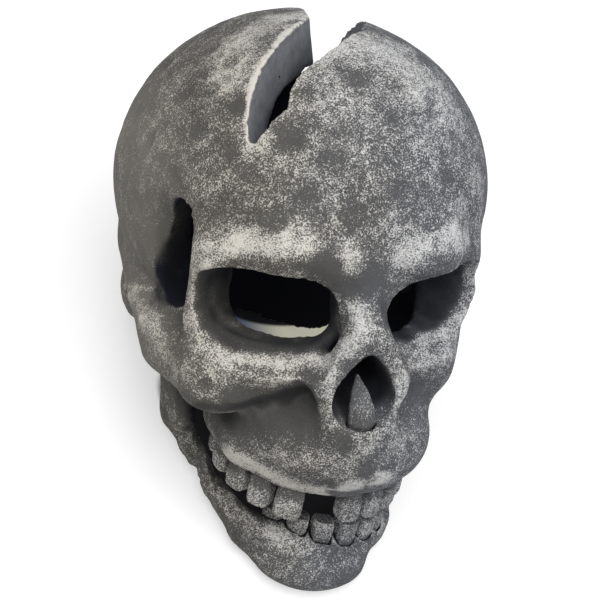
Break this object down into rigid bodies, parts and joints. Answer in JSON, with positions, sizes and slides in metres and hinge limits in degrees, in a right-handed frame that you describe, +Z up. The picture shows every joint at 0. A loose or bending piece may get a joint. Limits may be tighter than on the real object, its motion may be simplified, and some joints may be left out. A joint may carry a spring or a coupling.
{
  "type": "skull replica",
  "caption": "Hollow cast skull replica with a cracked crown, open eye sockets, nose and base, separately set teeth and a hinged jaw, for light or flames inside.",
  "frame": {"origin": "on the ground, under the middle of the bounding box of the skull as it stands on its chin and the back of its base", "axes": "+X to the skull's left, +Y to its back, +Z up; the face looks along -Y and up"},
  "size_m": [0.143, 0.2156, 0.1778],
  "materials": {
    "ceramic": "matte cast refractory ceramic, dark grey with dry-brushed cream",
    "tooth_ceramic": "matte cast refractory ceramic, grey with more cream",
    "steel": "plain steel pins and washers"
  },
  "bodies": {
    "cranium": {"cranium_shell": "ceramic", "nasal_blade": "ceramic", "jaw_pin_left": "steel", "jaw_pin_right": "steel", "jaw_washer_left": "steel", "jaw_washer_right": "steel", "upper_right_lateral_incisor": "tooth_ceramic", "upper_right_canine": "tooth_ceramic", "upper_right_premolar": "tooth_ceramic", "upper_right_molar_1": "tooth_ceramic", "upper_right_molar_2": "tooth_ceramic", "upper_left_central_incisor": "tooth_ceramic", "upper_left_lateral_incisor": "tooth_ceramic", "upper_left_canine": "tooth_ceramic", "upper_left_premolar": "tooth_ceramic", "upper_left_molar_1": "tooth_ceramic", "upper_left_molar_2": "tooth_ceramic"},
    "jaw": {"mandible": "ceramic", "lower_right_central_incisor": "tooth_ceramic", "lower_right_lateral_incisor": "tooth_ceramic", "lower_right_canine": "tooth_ceramic", "lower_left_central_incisor": "tooth_ceramic", "lower_left_lateral_incisor": "tooth_ceramic", "lower_left_canine": "tooth_ceramic"}
  },
  "joints": [
    {"name": "jaw_hinge", "type": "hinge", "parent": "cranium", "child": "jaw", "pos_m": [-0.0013, 0.00205, 0.04568], "axis": [1, 0, 0], "range_deg": [0, 20]}
  ]
}
